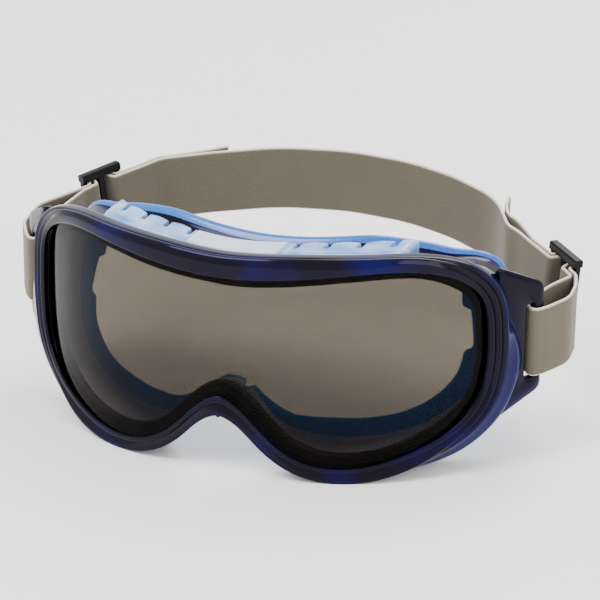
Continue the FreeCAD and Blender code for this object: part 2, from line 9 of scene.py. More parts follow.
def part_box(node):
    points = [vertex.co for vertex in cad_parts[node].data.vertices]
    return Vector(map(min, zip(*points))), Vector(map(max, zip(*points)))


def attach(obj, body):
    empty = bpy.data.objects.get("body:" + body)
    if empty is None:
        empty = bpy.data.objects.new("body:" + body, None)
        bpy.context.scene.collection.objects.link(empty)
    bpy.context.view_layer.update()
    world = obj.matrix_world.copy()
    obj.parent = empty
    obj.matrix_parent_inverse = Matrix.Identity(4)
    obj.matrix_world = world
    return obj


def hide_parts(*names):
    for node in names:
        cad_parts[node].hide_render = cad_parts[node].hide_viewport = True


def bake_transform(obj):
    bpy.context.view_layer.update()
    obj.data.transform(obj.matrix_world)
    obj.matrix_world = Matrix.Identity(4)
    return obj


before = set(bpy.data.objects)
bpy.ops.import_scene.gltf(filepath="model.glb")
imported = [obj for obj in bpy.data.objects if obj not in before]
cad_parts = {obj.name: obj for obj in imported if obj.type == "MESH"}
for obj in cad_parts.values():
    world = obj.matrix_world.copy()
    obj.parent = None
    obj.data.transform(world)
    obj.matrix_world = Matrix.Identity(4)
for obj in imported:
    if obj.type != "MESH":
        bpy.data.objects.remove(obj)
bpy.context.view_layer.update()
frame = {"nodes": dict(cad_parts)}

bl_info = {
    "name": "Safety goggles",
    "version": (1, 0, 0),
    "blender": (4, 5, 0),
    "location": "View3D > Sidebar > Goggles",
    "description": "Finishes a pair of soft-framed safety goggles around its packed design",
    "category": "Add Mesh",
}

MM = 0.001

# ------------------------------------------------------------------ shape of the frame
# Half of the lens edge seen from the front, from the middle of the brow round to the
# middle of the nose: across (share of half the width), up (share of the height), and
# how much of the rim's width and of the face opening's inset applies there.
LENS_EDGE = np.array([
    (0.000, 0.441, 1.14, 0.85),
    (0.275, 0.459, 1.09, 0.85),
    (0.600, 0.498, 0.75, 0.90),
    (0.800, 0.483, 0.75, 0.95),
    (0.893, 0.427, 0.88, 1.05),
    (0.967, 0.332, 1.00, 1.20),
    (0.997, 0.156, 1.07, 1.25),
    (0.997, -0.036, 1.07, 1.08),
    (0.959, -0.216, 1.05, 0.96),
    (0.827, -0.380, 1.00, 0.82),
    (0.653, -0.473, 1.00, 0.78),
    (0.501, -0.498, 0.97, 0.84),
    (0.347, -0.462, 0.93, 0.80),
    (0.224, -0.369, 0.86, 0.50),
    (0.115, -0.234, 1.00, 0.16),
    (0.000, -0.152, 1.40, 0.12),
])
LENS_WIDTH = 150.0 * MM
LENS_HEIGHT = 64.0 * MM
LENS_CURVE = 97.0 * MM
LEAST_LEG = 14.0 * MM
LENS_BITE = 2.5 * MM
LENS_POLE = 8.0 * MM
LENS_THICK = 1.85 * MM
INNER_BACK = 5.15 * MM
INNER_THICK = 0.85 * MM
OPENING_INSET = 10.0 * MM
FACE_CURVE = 135.0 * MM
FACE_SLOPE = math.radians(16.0)
BROW_DEPTH = 34.0 * MM
NOSE_DEPTH = 12.5 * MM
NOSE_LEVEL = -9.0 * MM
NOSE_FOOT = -20.0 * MM
NOSE_LEAN = math.tan(math.radians(45.0))
NOSE_FLANK = math.tan(math.radians(37.0))


def closed_spline(knots, values, places):
    """Periodic cubic spline: every curve value is the cubic between two knots whose slopes
    make the second derivative continuous; the slopes come from one linear system."""
    steps = np.diff(knots)
    count = len(steps)
    rises = np.diff(np.vstack([values, values[:1]]), axis=0) / steps[:, None]
    index = np.arange(count)
    before = steps[index - 1]
    system = np.zeros((count, count))
    system[index, index - 1] = steps
    system[index, index] = 2 * (before + steps)
    system[index, (index + 1) % count] = before
    right = 3 * (steps[:, None] * rises[index - 1] + before[:, None] * rises)
    slopes = np.linalg.solve(system, right)
    spot = np.clip(np.searchsorted(knots, places, side="right") - 1, 0, count - 1)
    width = steps[spot][:, None]
    share = (places - knots[spot])[:, None] / width
    after = (spot + 1) % count
    return ((2 * share**3 - 3 * share**2 + 1) * values[spot]
            + (share**3 - 2 * share**2 + share) * width * slopes[spot]
            + (3 * share**2 - 2 * share**3) * values[after]
            + (share**3 - share**2) * width * slopes[after])


def lengths_along(path):
    """Length of the path from its start to each of its points."""
    return np.concatenate([[0], np.cumsum(np.linalg.norm(np.diff(path, axis=0), axis=1))])


def sampled(rows, lengths, places):
    """Rows interpolated at places along a path."""
    return np.column_stack([np.interp(places, lengths, column) for column in rows.T])


def smooth_step(values, start, end):
    """0 before the start and 1 past the end, with the cubic 3t^2 - 2t^3 between."""
    share = np.clip((values - start) / (end - start), 0, 1)
    return share * share * (3 - 2 * share)


def quarter_round(share):
    """Height of a quarter circle, from 0 at its foot to 1 at its top."""
    return np.sqrt(1 - (1 - np.clip(share, 0, 1)) ** 2)


def lens_outline(count):
    """Lens edge sampled evenly: arrays of across, up, outward normal (across, up), rim
    share and inset share.  The edge is the periodic spline through LENS_EDGE and its
    mirror image; the normal is the tangent turned by a right angle."""
    mirror = LENS_EDGE[-2:0:-1] * np.array([-1, 1, 1, 1])
    rows = np.vstack([LENS_EDGE, mirror]) * np.array([LENS_WIDTH / 2, LENS_HEIGHT, 1, 1])
    gaps = np.linalg.norm(np.roll(rows, -1, axis=0)[:, :2] - rows[:, :2], axis=1)
    knots = np.concatenate([[0.0], np.cumsum(gaps)])
    fine = closed_spline(knots, rows, np.linspace(0, knots[-1], 4001)[:-1])
    lengths = lengths_along(fine[:, :2])
    rows = sampled(fine, lengths, np.linspace(0, lengths[-1], count + 1)[:-1])
    along = np.roll(rows[:, :2], -1, axis=0) - np.roll(rows[:, :2], 1, axis=0)
    along /= np.linalg.norm(along, axis=1)[:, None]
    return rows[:, 0], rows[:, 1], -along[:, 1], along[:, 0], rows[:, 2], rows[:, 3]


def front_depth(across, behind):
    """Depth of the upright drum that lies this far behind the lens front: the drum's axis
    less the leg of the right triangle over the half chord, which is kept from vanishing."""
    radius = LENS_CURVE - behind
    return LENS_CURVE - np.sqrt(np.maximum(radius**2 - across**2, LEAST_LEG**2))


def face_depth(across, up):
    """Depth of the wearer's face: the nearer of a leaning cylinder for the head and a
    wedge for the nose, joined by a smooth minimum."""
    head = (BROW_DEPTH + up * math.tan(FACE_SLOPE)
            + (FACE_CURVE - np.sqrt(np.maximum(FACE_CURVE**2 - across**2, 0))) / math.cos(FACE_SLOPE))
    bridge = NOSE_DEPTH + (np.maximum(up, NOSE_FOOT) - NOSE_LEVEL) * NOSE_LEAN
    nose = bridge + np.sqrt(across**2 + (1.5 * MM) ** 2) * NOSE_FLANK
    soft = 2.0 * MM
    blend = np.clip(0.5 + 0.5 * (nose - head) / soft, 0, 1)
    return nose * (1 - blend) + head * blend - soft * blend * (1 - blend)


EDGE_COUNT = 640
EDGE = lens_outline(EDGE_COUNT)
lens_low, lens_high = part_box("outer_lens")
# Middle of the lens front in the model: the design's own starting point.
LENS_MIDDLE = np.array([
    (lens_low.x + lens_high.x) / 2,
    lens_low.y,
    lens_low.z - np.min(EDGE[1] + EDGE[3] * LENS_BITE),
])


def ring_point(outward, behind, rearward, share):
    """Places round the lens edge: the edge moved along its normal, at a depth behind the
    lens drum mixed by share with a depth from the face."""
    across, up, normal_across, normal_up = (part[:, None] for part in EDGE[:4])
    x = across + normal_across * outward
    z = up + normal_up * outward
    y = (front_depth(across, 0.0) + behind) * (1 - share) + (face_depth(x, z) + rearward) * share
    return np.stack([x, y, z], axis=-1)


# ------------------------------------------------------------------ meshes
def add_object(name, vertices, faces, material, smooth=True):
    """Mesh object at the origin from points in lens coordinates."""
    mesh = bpy.data.meshes.new(name)
    parts = faces if isinstance(faces, list) else [faces]
    mesh.from_pydata((vertices + LENS_MIDDLE).tolist(), [],
                     [face for part in parts for face in part.tolist()])
    work = bmesh.new()
    work.from_mesh(mesh)
    bmesh.ops.recalc_face_normals(work, faces=work.faces)
    work.to_mesh(mesh)
    work.free()
    mesh.materials.append(material)
    mesh.polygons.foreach_set("use_smooth", np.full(len(mesh.polygons), smooth))
    mesh.update()
    piece = bpy.data.objects.new(name, mesh)
    bpy.context.collection.objects.link(piece)
    return piece


def grid_faces(rows, columns, close_rows=False, close_columns=False):
    """Quads between neighbours of a grid whose points are numbered row by row."""
    row = np.arange(rows if close_rows else rows - 1)
    column = np.arange(columns if close_columns else columns - 1)
    first, second = np.meshgrid(row, column, indexing="ij")
    after_row = (first + 1) % rows
    after_column = (second + 1) % columns
    return np.stack([first * columns + second, first * columns + after_column,
                     after_row * columns + after_column, after_row * columns + second],
                    axis=-1).reshape(-1, 4)


def tube_faces(rows, columns):
    """Quads of a tube of closed rows, and of its two ends: each end joins the first half of
    its row to the second half run backwards."""
    faces = [grid_faces(rows, columns, close_columns=True)]
    for row in (0, rows - 1):
        left = row * columns + np.arange(columns // 2 - 1)
        right = row * columns + columns - 1 - np.arange(columns // 2 - 1)
        faces.append(np.stack([left, right, right - 1, left + 1], axis=1))
    faces[1] = faces[1][:, ::-1]
    return np.vstack(faces)


def add_values(piece, name, values):
    """One number per vertex, for a material to read."""
    layer = piece.data.attributes.new(name, "FLOAT", "POINT")
    layer.data.foreach_set("value", np.asarray(values, np.float32).reshape(-1))


def place(piece, body, slot, *replaced):
    """Hands a finished piece to its body and hides the nodes it stands for; the slot argument is not
    used.
    """
    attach(piece, body)
    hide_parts(*replaced)


def repaint(node, material):
    """Gives a node of the design, whose own mesh stays, a better material."""
    materials = frame["nodes"][node].data.materials
    materials.clear()
    materials.append(material)


def rounded_path(points, largest):
    """Route of straight runs joined by tangent arcs: each arc's centre lies on the corner's
    bisector, and its radius is as large as its two runs allow, up to a limit."""
    path = [points[0]]
    for before, corner, after in zip(points, points[1:], points[2:]):
        first, second = np.linalg.norm(corner - before), np.linalg.norm(after - corner)
        coming, going = (corner - before) / first, (after - corner) / second
        turn = math.acos(np.clip(coming @ going, -1, 1))
        radius = min(largest, 0.45 * min(first, second) / math.tan(turn / 2))
        reach = radius * math.tan(turn / 2)
        side = np.sign(coming[0] * going[1] - coming[1] * going[0])
        centre = corner - coming * reach + side * radius * np.array([-coming[1], coming[0]])
        start = corner - coming * reach - centre
        for angle in side * np.linspace(0, turn, ARC_POINTS):
            path.append(centre + np.array([start[0] * math.cos(angle) - start[1] * math.sin(angle),
                                           start[0] * math.sin(angle) + start[1] * math.cos(angle)]))
    path.append(points[-1])
    return np.array(path)


def even_path(path, spacing):
    """Path resampled so that its points are about one spacing apart."""
    lengths = lengths_along(path)
    count = max(int(round(lengths[-1] / spacing)), 2) + 1
    even = np.linspace(0, lengths[-1], count)
    return sampled(path, lengths, even), even


# ------------------------------------------------------------------ materials
class Wire:
    """Socket whose arithmetic adds Math nodes, so a pattern reads as an expression."""

    def __init__(self, graph, socket):
        self.graph = graph
        self.socket = socket

    def maths(self, operation, *others):
        return self.graph.add("ShaderNodeMath", {"operation": operation},
                              dict(enumerate((self,) + others)))

    def __add__(self, other):
        return self.maths("ADD", other)

    __radd__ = __add__

    def __mul__(self, other):
        return self.maths("MULTIPLY", other)

    __rmul__ = __mul__

    def __sub__(self, other):
        return self.maths("SUBTRACT", other)

    def __rsub__(self, other):
        return (self * -1) + other

    def clamped(self):
        return self.maths("MAXIMUM", 0.0).maths("MINIMUM", 1.0)

    def sine(self):
        return self.maths("SINE")


class Graph:
    """Node tree of one new material."""

    def __init__(self, name):
        self.material = bpy.data.materials.new(name)
        self.material.use_nodes = True
        self.tree = self.material.node_tree
        self.tree.nodes.clear()

    def add(self, kind, settings=None, inputs=None, output=0):
        """One output of a new node, which gets settings and constants or wires."""
        node = self.tree.nodes.new(kind)
        for key, value in (settings or {}).items():
            setattr(node, key, value)
        for key, value in (inputs or {}).items():
            if isinstance(value, Wire):
                self.tree.links.new(value.socket, node.inputs[key])
            else:
                node.inputs[key].default_value = value
        return Wire(self, node.outputs[output]) if node.outputs else None

    def position(self):
        return self.add("ShaderNodeTexCoord", output="Object")

    def attribute(self, name):
        return self.add("ShaderNodeAttribute", {"attribute_name": name}, output="Fac")

    def noise(self, scale, detail=3.0):
        return self.add("ShaderNodeTexNoise", None, {
            "Vector": self.position(), "Scale": scale, "Detail": detail, "Roughness": 0.55})

    def mix(self, factor, first, second):
        return self.add("ShaderNodeMix", {"data_type": "RGBA"},
                        {0: factor, 6: first, 7: second}, 2)

    def clouded(self, scale, detail, start, gain, first, second):
        """Two colours mixed by slow noise: its share is the noise over start, times gain."""
        return self.mix(((self.noise(scale, detail) - start) * gain).clamped(), opaque(first),
                        opaque(second))

    def bump(self, height, distance, strength):
        return self.add("ShaderNodeBump", None, {
            "Height": height, "Distance": distance, "Strength": strength})

    def finish(self, **inputs):
        named = {key.replace("_", " "): value for key, value in inputs.items()}
        shader = self.add("ShaderNodeBsdfPrincipled", None, named)
        self.add("ShaderNodeOutputMaterial", None, {"Surface": shader})
        return self.material


def colour(red, green, blue):
    """Linear colour from 0-255 display values."""
    shares = np.array([red, green, blue]) / 255
    linear = np.where(shares <= 0.04045, shares / 12.92, ((shares + 0.055) / 1.055) ** 2.4)
    return tuple(float(value) for value in linear) + (1.0,)


def opaque(setting):
    """Colour setting with full alpha, for a shader socket."""
    return tuple(setting) + (1.0,)


def frame_vinyl(settings):
    """Glossy soft vinyl: navy where it is thick, paler where it is thin, with slow clouds, and painted
    near-black shade in the shadowed groove at the lens seat.
    """
    graph = Graph("frame_vinyl")
    thin = graph.attribute("thin")
    deep = graph.clouded(32.0, 2.0, 0.48, 4.0, settings.deep_colour, settings.cobalt_colour)
    shade = graph.mix(thin.clamped(), deep, opaque(settings.thin_colour))
    # Painted shade: near-black colour where the groove shade mask marks the shadowed seat at the lens
    # edge.
    shade = graph.mix(graph.attribute("groove_shade").clamped(), shade, colour(3, 3, 6))
    grain = graph.noise(900.0, 2.0)
    return graph.finish(
        Base_Color=shade, Roughness=grain * 0.06 + 0.06, IOR=1.3,
        Specular_Tint=(0.55, 0.5, 0.75, 1.0),
        Normal=graph.bump(graph.noise(60.0, 2.0) * 0.6 + grain * 0.05, 0.0002, 0.2))


def clear_vinyl(settings):
    """Thin translucent vinyl of the face flange and the side wall, with a faint blue emission as a
    painted glow of light shining through it.
    """
    graph = Graph("clear_vinyl")
    grain = graph.noise(700.0, 2.0)
    shade = graph.clouded(22.0, 1.0, 0.3, 1.4, settings.flange_colour, settings.flange_light_colour)
    # Painted glow: a faint blue emission stands in for light shining through the thin vinyl.
    return graph.finish(
        Base_Color=shade, Roughness=grain * 0.1 + 0.22, IOR=1.45,
        Transmission_Weight=0.3, Subsurface_Weight=0.5, Subsurface_Radius=(0.6, 0.9, 1.2),
        Subsurface_Scale=0.004, Coat_Weight=0.3, Coat_Roughness=0.12,
        Emission_Color=colour(36, 96, 160), Emission_Strength=0.3)


def wall_vinyl(settings):
    """Inside of the side wall: the same vinyl seen from within, a pale greyish lavender. Its shaded and
    lit colours are mixed in slow clouds as painted light and shade, and a faint emission adds a painted
    glow of light coming through the vinyl.
    """
    graph = Graph("wall_vinyl")
    grain = graph.noise(500.0, 2.0)
    # Painted light and shade: shaded and lit copies of the wall colour mixed by slow noise.
    shade = graph.clouded(30.0, 2.0, 0.35, 2.2, settings.wall_colour, settings.wall_light_colour)
    # Painted glow: a faint pale emission stands in for light coming through the wall.
    return graph.finish(Base_Color=shade, Roughness=grain * 0.1 + 0.3, IOR=1.45,
                        Subsurface_Weight=0.6, Subsurface_Radius=(0.9, 0.9, 1.2),
                        Subsurface_Scale=0.004, Emission_Color=colour(176, 180, 205),
                        Emission_Strength=0.16, Normal=graph.bump(grain, 0.00003, 0.3))


def lens_glass(name, scale, detail, first, second, bending):
    """Clear or tinted polycarbonate whose tint varies very little over the lens."""
    graph = Graph(name)
    return graph.finish(Base_Color=graph.mix(graph.noise(scale, detail), first, second),
                        Roughness=0.0, IOR=bending, Transmission_Weight=1.0)


def gasket_foam():
    """Black closed-cell spacer with fine pores."""
    graph = Graph("gasket_foam")
    pores = graph.noise(1800.0, 2.0)
    shade = graph.mix(pores.clamped(), colour(54, 52, 48), colour(82, 79, 72))
    return graph.finish(Base_Color=shade, Roughness=0.75, Normal=graph.bump(pores, 0.00005, 0.3))


def vent_plastic(settings):
    """Satin pale blue moulding of the vent cover. Its shaded and lit colours are mixed in slow clouds as
    painted light and shade, and the gaps between the louvres get painted shade.
    """
    graph = Graph("vent_plastic")
    grain = graph.noise(1400.0, 2.0)
    # Painted light and shade: shaded and lit copies of the cover colour mixed by slow noise.
    shade = graph.clouded(70.0, 2.0, 0.4, 2.5, settings.cover_colour, settings.cover_light_colour)
    # Painted shade: dark blue where the louvre gap shade mask marks the gaps between the louvres.
    shaded = graph.mix(graph.attribute("louvre_gap_shade").clamped(), shade, colour(14, 40, 70))
    return graph.finish(Base_Color=shaded, Roughness=grain * 0.15 + 0.25, Coat_Weight=0.35,
                        Coat_Roughness=0.15, Subsurface_Weight=0.15, Subsurface_Radius=(0.4, 0.8, 1.2),
                        Subsurface_Scale=0.002,
                        Normal=graph.bump(grain, 0.00008, 0.4))


def plate_plastic():
    """Blank plate with a fine spark-eroded texture inside its border."""
    graph = Graph("plate_plastic")
    grain = graph.noise(2600.0, 3.0)
    shade = graph.mix((grain - 0.3).clamped(), colour(176, 196, 214), colour(214, 222, 232))
    return graph.finish(Base_Color=shade, Roughness=grain * 0.3 + 0.3, Coat_Weight=0.2,
                        Normal=graph.bump(grain, 0.00015, 0.5))


def strap_webbing(settings):
    """Knitted elastic: fine ribs along the strap crossed by the weft, paler cut edges. Shaded and lit
    yarn colours are mixed by slow noise, fine fuzz and the knit, which paints shade into the hollows of
    the knit and slow patches of painted light.
    """
    graph = Graph("strap_webbing")
    uv = graph.add("ShaderNodeUVMap", {"uv_map": "strap"})
    along, over = (graph.add("ShaderNodeSeparateXYZ", None, {0: uv}, axis) for axis in (0, 1))
    ribs = (over * (2 * math.pi / settings.rib_pitch)).sine() * 0.5 + 0.5
    weft = (along * (2 * math.pi / settings.weft_pitch)).sine() * 0.5 + 0.5
    knit = ribs * weft
    slow = graph.noise(38.0, 3.0)
    fuzz = graph.noise(3200.0, 2.0)
    # Painted light and shade: the share of lit yarn grows with slow noise and the raised parts of the
    # knit; the fuzz adds fine random tone.
    light = (slow * 0.35 + fuzz * 0.35 + knit * 0.3).clamped()
    face = graph.mix(light, opaque(settings.dark_colour), opaque(settings.light_colour))
    shade = graph.mix(graph.attribute("edge").clamped(), face, opaque(settings.edge_colour))
    return graph.finish(Base_Color=shade, Roughness=0.82, Sheen_Weight=0.25, Sheen_Roughness=0.5,
                        Sheen_Tint=(0.9, 0.85, 0.75, 1.0), Specular_IOR_Level=0.25,
                        Normal=graph.bump(knit * 0.7 + fuzz * 0.5, 0.00012, 0.5))


def slide_plastic():
    """Satin black moulding with a fine grain."""
    graph = Graph("slide_plastic")
    grain = graph.noise(1500.0, 3.0)
    shade = graph.mix(grain, colour(1, 1, 1), colour(5, 5, 6))
    return graph.finish(Base_Color=shade, Roughness=grain * 0.2 + 0.25, IOR=1.22,
                        Normal=graph.bump(grain, 0.0001, 0.5))


def floor_paint():
    """Even pale floor with the least mottle."""
    graph = Graph("floor_paint")
    tone = graph.noise(3.0, 2.0)
    shade = graph.mix(tone, (0.93, 0.93, 0.93, 1.0), (0.97, 0.97, 0.97, 1.0))
    return graph.finish(Base_Color=shade, Roughness=0.9, Specular_IOR_Level=0.1)


# ------------------------------------------------------------------ settings
def length_setting(label, description, default):
    """Length in metres that the panel shows."""
    return bpy.props.FloatProperty(name=label, description=description, default=default,
                                   subtype="DISTANCE", unit="LENGTH", precision=5)


def angle_setting(label, description, degrees):
    """Angle that the panel shows."""
    return bpy.props.FloatProperty(name=label, description=description, subtype="ANGLE",
                                   unit="ROTATION", default=math.radians(degrees))


def colour_setting(label, description, rgb):
    """Colour that the panel shows, from 0-255 display values."""
    return bpy.props.FloatVectorProperty(name=label, description=description, size=3,
                                         subtype="COLOR", min=0, max=1, default=colour(*rgb)[:3])


class FrameSettings(bpy.types.PropertyGroup):
    """Soft vinyl frame."""
    deep_colour: colour_setting("Deep colour", "Thickest vinyl", (7, 5, 13))
    cobalt_colour: colour_setting("Cobalt colour", "Clear patches of thick vinyl", (4, 4, 62))
    thin_colour: colour_setting("Thin colour", "Thin edges of the rim", (12, 16, 64))
    flange_colour: colour_setting("Flange colour", "Translucent flange", (2, 84, 176))
    flange_light_colour: colour_setting("Flange light colour", "Palest flange", (14, 140, 214))
    wall_colour: colour_setting("Wall colour", "Shaded inside of the wall", (150, 152, 190))
    wall_light_colour: colour_setting("Wall light colour", "Lit inside of the wall", (205, 208, 226))


class LensSettings(bpy.types.PropertyGroup):
    """Two lenses and their spacer."""
    tint: bpy.props.FloatVectorProperty(name="Tint", description="Tint at each lens surface",
                                        size=3, subtype="COLOR", min=0, max=1,
                                        default=(0.10, 0.083, 0.064))


class VentSettings(bpy.types.PropertyGroup):
    """Louvred cover on the roof and its blank plate."""
    cover_colour: colour_setting("Cover colour", "Shaded side of the cover", (70, 128, 196))
    cover_light_colour: colour_setting("Cover light colour", "Lit side of the cover", (186, 204, 232))


class StrapSettings(bpy.types.PropertyGroup):
    """Elastic headband."""
    width: length_setting("Width", "Strap width", 22.3 * MM)
    thickness: length_setting("Thickness", "Strap thickness", 1.3 * MM)
    rib_pitch: length_setting("Rib pitch", "Distance between ribs", 0.9 * MM)
    weft_pitch: length_setting("Weft pitch", "Distance between weft rows", 0.7 * MM)
    dark_colour: colour_setting("Dark colour", "Shaded yarn", (78, 71, 58))
    light_colour: colour_setting("Light colour", "Lit yarn", (104, 96, 81))
    edge_colour: colour_setting("Edge colour", "Cut edges", (222, 212, 196))


class StageSettings(bpy.types.PropertyGroup):
    """Floor, lights and camera."""
    azimuth: angle_setting("Azimuth", "Camera's turn round the goggles", 20.333)
    elevation: angle_setting("Elevation", "Camera's height over the horizon", 20.662)
    roll: angle_setting("Roll", "Camera's turn about its own axis", 0.802)
    away: length_setting("Distance", "Camera to the point it looks at", 0.8)
    focal_length: bpy.props.FloatProperty(name="Focal length", description="In millimetres",
                                          default=149.5)
    aim: bpy.props.FloatVectorProperty(name="Aim", description="Point looked at, from the lens middle",
                                       size=3, subtype="TRANSLATION", unit="LENGTH",
                                       default=(11.7 * MM, 40.0 * MM, 8.73 * MM))


class GogglesSettings(bpy.types.PropertyGroup):
    """All sizes and colours that a user would change."""
    frame: bpy.props.PointerProperty(type=FrameSettings)
    lens: bpy.props.PointerProperty(type=LensSettings)
    vents: bpy.props.PointerProperty(type=VentSettings)
    strap: bpy.props.PointerProperty(type=StrapSettings)
    stage: bpy.props.PointerProperty(type=StageSettings)


# ------------------------------------------------------------------ soft frame
# Sections of the frame from the lens edge round the outside to where the wall starts:
# (outward, behind, groove shade) in millimetres; the groove shade is 1 where the seat lies in shadow, and
# there the frame's colour is painted near black as painted shade.
# Every section has the same number of corners, and a place on the frame mixes them.
BROW_SECTION = [(-0.2, 0.8, 1), (0.0, 0.1, 1), (0.1, -0.7, 0), (0.5, -1.0, 0), (2.6, -0.9, 0),
                (4.2, -0.7, 0), (4.4, -0.6, 0), (5.7, 0.0, 0), (5.8, 0.1, 0), (6.2, 0.5, 0),
                (6.2, 1.4, 0), (5.7, 1.6, 0), (5.8, 2.2, 0), (6.1, 2.6, 0), (6.1, 4.4, 0),
                (5.9, 6.8, 0), (5.2, 7.4, 0), (3.4, 7.8, 0)]
SIDE_SECTION = [(-0.2, 0.9, 1), (0.8, 1.0, 1), (1.5, 1.3, 1), (1.6, -0.7, 0), (1.9, -1.0, 0),
                (3.2, -0.7, 0), (3.45, -0.4, 0), (3.5, 0.6, 0), (3.8, 0.5, 0), (5.1, 0.7, 0),
                (5.35, 1.0, 0), (5.4, 2.0, 0), (5.7, 1.9, 0), (6.9, 2.2, 0), (7.15, 2.6, 0),
                (7.0, 4.4, 0), (6.6, 6.4, 0), (6.4, 8.4, 0)]
FLOOR_SECTION = [(-0.2, 0.8, 1), (0.3, 0.8, 1), (0.6, 0.4, 1), (0.7, -0.7, 0), (1.0, -1.1, 0),
                 (2.2, -1.1, 0), (2.4, -0.8, 0), (2.5, -0.3, 0), (2.7, -0.4, 0), (4.4, -1.0, 0),
                 (5.2, -1.2, 0), (5.8, -1.1, 0), (5.8, -0.7, 0), (5.8, 1.0, 0), (5.8, 2.6, 0),
                 (5.75, 4.2, 0), (5.6, 6.0, 0), (5.2, 7.6, 0)]


NOTCH_LEVEL = 2.8 * MM
NOTCH_HALF = 7.3 * MM
NOTCH_SOFTNESS = 0.35 * MM
NOTCH_DEPTH = 2.6 * MM
TEMPLE_START = 60 * MM
SLIT_ACROSS = 4.6 * MM
SLIT_HALF = 0.85 * MM
SLIT_DEPTH = 4.5 * MM
CHEEK_FLARE = 3.6 * MM
# Depth behind the lens drum from which the rear rows are mixed with the face's depth.
REAR_START = 9.0 * MM


def section_weights():
    """How much of the brow, side and floor section applies round the edge: the side's share
    grows with the outward normal's lean, the rest is split by whether it points up."""
    across, _, normal_across, normal_up = EDGE[:4]
    side = smooth_step(np.abs(normal_across), 0.35, 0.75) * (np.abs(across) > 45 * MM)
    brow = (1 - side) * (normal_up > 0)
    floor = 1 - side - brow
    weights = np.stack([brow, side, floor], axis=1)
    spread = 18
    kernel = np.hanning(2 * spread + 1)
    kernel /= kernel.sum()
    wrapped = np.vstack([weights[-spread:], weights, weights[:spread]])
    return np.stack([np.convolve(wrapped[:, k], kernel, mode="valid") for k in range(3)], axis=1)


def smooth_columns(columns, passes):
    """Corner-rounded run of section corners: each pass cuts every corner at a quarter of its
    two runs (Chaikin), for every place on the edge at once."""
    for _ in range(passes):
        start, end = columns[:, :-1], columns[:, 1:]
        first = 0.75 * start + 0.25 * end
        second = 0.25 * start + 0.75 * end
        middle = np.stack([first, second], axis=2).reshape(len(columns), -1, columns.shape[-1])
        columns = np.concatenate([columns[:, :1], middle, columns[:, -1:]], axis=1)
    return columns


def opening_inset():
    """Width of the face flange inside the lens edge, with a notch at each temple for the
    arms of a pair of glasses."""
    across, up = EDGE[:2]
    width = OPENING_INSET * EDGE[5]
    notch = 1 / (1 + np.exp(-(NOTCH_HALF - np.abs(up - NOTCH_LEVEL)) / NOTCH_SOFTNESS))
    return width - NOTCH_DEPTH * notch * (np.abs(across) > TEMPLE_START)


def corner_row(outward, depth, share, zone):
    """The same corner of every section: outward, depth in millimetres, share of the depth
    that is counted from the face, no painted groove shade, and the zone of the material."""
    fixed = np.broadcast_to([depth * MM, share, 0.0, zone], (EDGE_COUNT, 4))
    return np.hstack([np.broadcast_to(outward, (EDGE_COUNT, 1)), fixed])


def front_corners(weights, flare):
    """Corners from the lens seat round the rim to the side wall, at depths behind the drum."""
    sections = np.array([BROW_SECTION, SIDE_SECTION, FLOOR_SECTION], float)
    front = np.einsum("ek,kcd->ecd", weights, sections)
    outward, behind, groove_shade = front[:, :, 0] * MM, front[:, :, 1] * MM, front[:, :, 2]
    rim_share = 1 + (EDGE[4][:, None] - 1) * (1 - weights[:, 1:2])
    outward = np.where(outward > 0, outward * rim_share, outward)
    outward += flare * smooth_step(behind, 2.6 * MM, 7.0 * MM)
    none = np.zeros_like(outward)
    return np.stack([outward, behind, none, groove_shade, none], axis=2)


def rear_corners(weights, flare):
    """Corners of the wall, the face flange and the wall's inside, at depths from the face."""
    across, up = EDGE[0][:, None], EDGE[1][:, None]
    brow, side = weights[:, 0:1], weights[:, 1:2]
    floor = 1 - brow - side
    low = smooth_step(-up, -14 * MM, 0)
    temple = smooth_step(np.abs(across), 30 * MM, 62 * MM) * brow
    wall = (-3.2 * brow + (0.4 + 5.2 * low) * side + 3.6 * floor - 3.0 * temple) * MM + flare
    lip = (0.8 * brow + (0.8 + 4.2 * low) * side + 4.4 * floor - 4.5 * temple) * MM + flare
    inside = np.minimum(wall - 2.0 * MM, -0.8 * MM)
    inset = opening_inset()[:, None]
    rows = [
        (wall + 1.6 * MM * brow, -9.0, 0.35, 0),
        (wall + 0.4 * MM * brow, -6.0, 0.75, 0),
        (wall, -3.6, 1.0, 0),
        (lip - 0.3 * MM, -2.6, 1.0, 1),
        (lip + 0.3 * MM, -1.9, 1.0, 1),
        (lip + 0.2 * MM, -0.3, 1.0, 1),
        (lip - 1.2 * MM, 0.0, 1.0, 1),
        (-inset * 0.5, -0.3, 1.0, 1),
        (-inset + 0.5 * MM, -0.4, 1.0, 1),
        (-inset, -0.9, 1.0, 1),
        (-inset + 0.3 * MM, -1.5, 1.0, 1),
        (np.minimum(inside * 0.4 - inset * 0.6, inside), -1.9, 1.0, 1),
        (inside, -2.8, 1.0, 2),
        (inside, -5.5, 1.0, 2),
    ]
    return np.stack([corner_row(*row) for row in rows], axis=1)


def inner_corners():
    """Corners inside the rim, from the side wall back to the lens seat."""
    rows = [(-0.4, 7.5, 0.0, 2), (-0.2, 6.2, 0.0, 2), (0.4, 6.2, 0.0, 2), (0.4, 3.0, 0.0, 0)]
    return np.stack([corner_row(row[0] * MM, *row[1:]) for row in rows], axis=1)


